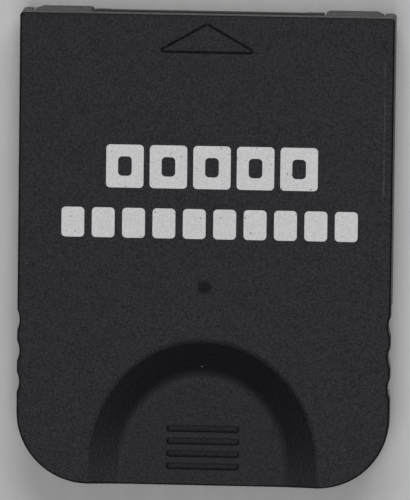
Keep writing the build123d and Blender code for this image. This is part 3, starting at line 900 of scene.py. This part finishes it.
class CARD_OT_print_front(bpy.types.Operator):
    """Prints two rows of plain white blocks on the front face."""

    bl_idname = "card.print_front"
    bl_label = "Print front"

    def execute(self, context):
        settings = context.scene.card_print
        ink = printed_ink(settings)
        rows = (
            (
                "print_upper_row", settings.cell_row, settings.cell_count, settings.cell_pitch,
                settings.cell_width, settings.cell_height, settings.cell_window,
            ),
            (
                "print_lower_row", settings.bar_row, settings.bar_count, settings.bar_pitch,
                settings.bar_width, settings.bar_height, 0.0,
            ),
        )
        for name, middle, count, pitch, width, height, window in rows:
            first = (middle[0] - pitch * (count - 1) / 2, middle[1])
            block = ink_block(
                name + "_1", first, width, height, settings.corner, settings.thickness, window
            )
            blocks = [block] + [copy_along_x(block, f"{name}_{n + 1}", n * pitch) for n in range(1, count)]
            row = join_pieces(blocks, name)
            row.data.materials.clear()
            row.data.materials.append(ink)
            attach(row, BODY)
        return {"FINISHED"}


class CARD_OT_finish_board(bpy.types.Operator):
    """Gives the circuit board its resist and laminate."""

    bl_idname = "card.finish_board"
    bl_label = "Finish board"

    def execute(self, context):
        paint(["circuit_board"], board_finish(context.scene.card_board))
        return {"FINISHED"}


class CARD_OT_finish_contacts(bpy.types.Operator):
    """Gives the contact fingers their gold, wiped along the way the card slides."""

    bl_idname = "card.finish_contacts"
    bl_label = "Finish contacts"

    def execute(self, context):
        colour = context.scene.card_board.gold_colour
        gold = plated_metal("contact_gold", colour, GOLD_MARKS, roughness=0.22, tarnish=0.25)
        paint(nodes_named("contact_finger"), gold)
        return {"FINISHED"}


class CARD_OT_finish_screw(bpy.types.Operator):
    """Gives the closing screw its plated steel."""

    bl_idname = "card.finish_screw"
    bl_label = "Finish screw"

    def execute(self, context):
        colour = context.scene.card_board.steel_colour
        steel = plated_metal("screw_steel", colour, STEEL_MARKS, roughness=0.32, tarnish=0.4)
        paint(["closing_screw"], steel)
        return {"FINISHED"}


class CARD_OT_finish_chips(bpy.types.Operator):
    """Gives the chips their epoxy bodies and tinned leads."""

    bl_idname = "card.finish_chips"
    bl_label = "Finish chips"

    def execute(self, context):
        settings = context.scene.card_board
        leads = nodes_named("flash_chip_leads", "controller_chip_leads")
        tin = plated_metal("lead_tin", settings.tin_colour, TIN_MARKS, roughness=0.36, tarnish=0.35)
        paint(["flash_chip", "controller_chip"], chip_epoxy(settings))
        paint(leads, tin)
        return {"FINISHED"}


class CARD_OT_finish_small_parts(bpy.types.Operator):
    """Gives the capacitors and resistors their bodies and tinned ends."""

    bl_idname = "card.finish_small_parts"
    bl_label = "Finish small parts"

    def execute(self, context):
        settings = context.scene.card_board
        kinds = (
            ("bulk_capacitor", "capacitor_yellow", settings.bulk_colour, 0.6 * MM, 0.4),
            ("bypass_capacitor", "capacitor_ceramic", settings.ceramic_colour, 0.45 * MM, 0.5),
            ("line_resistor", "resistor_film", settings.film_colour, 0.3 * MM, 0.3),
        )
        for start, name, colour, cap, roughness in kinds:
            names = nodes_named(start)
            paint(names, end_capped(name, colour, settings.tin_colour, names[0], cap, roughness))
        return {"FINISHED"}


class CARD_OT_build_stage(bpy.types.Operator):
    """Puts a pale table under the card, hangs two softboxes over it and sets the camera."""

    bl_idname = "card.build_stage"
    bl_label = "Build stage"

    def execute(self, context):
        settings = context.scene.card_stage
        self.lay_table(settings)
        self.hang_lamps(context.scene, settings)
        self.set_camera(context.scene, settings)
        context.scene.view_settings.view_transform = "Standard"
        return {"FINISHED"}

    def lay_table(self, settings):
        """A table top with rounded corners."""
        side = settings.floor_size
        middle = (0, 0, CAD_LOW.z - TABLE_THICKNESS / 2)
        table = add_box("table_top", middle, (side, side, TABLE_THICKNESS))
        bpy.ops.object.mode_set(mode="EDIT")
        round_corners(table, side * TABLE_CORNER_SHARE, TABLE_CORNER_SEGMENTS)
        table.data.materials.append(table_paper(settings))

    def hang_lamps(self, scene, settings):
        """A softbox overhead, a smaller one beyond the connector end and a little light all round."""
        lamps = (
            ("overhead_softbox", settings.overhead_place, settings.overhead_size, settings.overhead_power),
            ("window_softbox", settings.window_place, settings.window_size, settings.window_power),
        )
        for name, place, size, power in lamps:
            select_only()
            turn = Vector(place).to_track_quat("Z", "Y").to_euler()
            bpy.ops.object.light_add(type="AREA", location=place, rotation=turn)
            lamp = bpy.context.object
            lamp.name = name
            lamp.data.shape = "ELLIPSE"
            lamp.data.size, lamp.data.size_y = size
            lamp.data.energy = power
        world = bpy.data.worlds.new("studio")
        world.use_nodes = True
        scene.world = world
        tree = world.node_tree
        path = tree.nodes.new("ShaderNodeLightPath")
        seen = calc(tree, "MAXIMUM", path.outputs["Is Camera Ray"], path.outputs["Is Glossy Ray"])
        seen = calc(tree, "MAXIMUM", seen, path.outputs["Is Transmission Ray"])
        around = tree.nodes["Background"]
        feed(tree, around, {"Color": (1.0, 1.0, 1.0, 1.0), "Strength": settings.fill})
        backdrop = {"Color": shade(settings.backdrop), "Strength": 1.0}
        behind = add_node(tree, "ShaderNodeBackground", backdrop)
        lights = {0: seen, 1: around.outputs[0], 2: behind.outputs[0]}
        mixed = add_node(tree, "ShaderNodeMixShader", lights)
        feed(tree, tree.nodes["World Output"], {"Surface": mixed.outputs[0]})

    def set_camera(self, scene, settings):
        """A camera far off over the card, leaning towards the connector end and the right side."""
        tilt, lean, roll = settings.tilt, settings.lean, settings.roll
        back = Vector((math.sin(lean), math.sin(tilt) * math.cos(lean), math.cos(tilt) * math.cos(lean)))
        right = Vector((0, 1, 0)).cross(back).normalized()
        up = back.cross(right)
        turned = right * math.cos(roll) + up * math.sin(roll)
        rotation = Matrix((turned, back.cross(turned), back)).transposed()
        place = Vector(settings.aim) + back * settings.distance
        select_only()
        bpy.ops.object.camera_add(location=place, rotation=rotation.to_euler())
        camera = bpy.context.object
        camera.name = "camera"
        camera.data.lens = camera.data.sensor_width * settings.distance / settings.view_height
        camera.data.clip_start = CAMERA_NEAR
        scene.camera = camera


class CARD_PT_panel(bpy.types.Panel):
    """Lists the steps and settings of the card."""

    bl_idname = "CARD_PT_panel"
    bl_label = "Memory card"
    bl_space_type = "VIEW_3D"
    bl_region_type = "UI"
    bl_category = "Card"

    def draw(self, context):
        for operator in OPERATORS:
            self.layout.operator(operator.bl_idname)
        for name, group in SETTINGS.items():
            box = self.layout.box()
            for field in group.__annotations__:
                box.prop(getattr(context.scene, name), field)


SETTINGS = {
    "card_shell": CardShellSettings,
    "card_print": CardPrintSettings,
    "card_board": CardBoardSettings,
    "card_stage": CardStageSettings,
}
OPERATORS = (
    CARD_OT_build_stage,
    CARD_OT_finish_shells,
    CARD_OT_print_front,
    CARD_OT_finish_board,
    CARD_OT_finish_contacts,
    CARD_OT_finish_screw,
    CARD_OT_finish_chips,
    CARD_OT_finish_small_parts,
)


def register():
    """Makes the settings, operators and panel known."""
    for name, group in SETTINGS.items():
        bpy.utils.register_class(group)
        setattr(bpy.types.Scene, name, bpy.props.PointerProperty(type=group))
    for operator in OPERATORS:
        bpy.utils.register_class(operator)
    bpy.utils.register_class(CARD_PT_panel)


def unregister():
    """Takes the settings, operators and panel away."""
    bpy.utils.unregister_class(CARD_PT_panel)
    for operator in reversed(OPERATORS):
        bpy.utils.unregister_class(operator)
    for name, group in SETTINGS.items():
        delattr(bpy.types.Scene, name)
        bpy.utils.unregister_class(group)


def main():
    """Builds the looks step by step."""
    register()
    for operator in OPERATORS:
        module, name = operator.bl_idname.split(".")
        getattr(getattr(bpy.ops, module), name)()


if __name__ == "__main__":
    main()
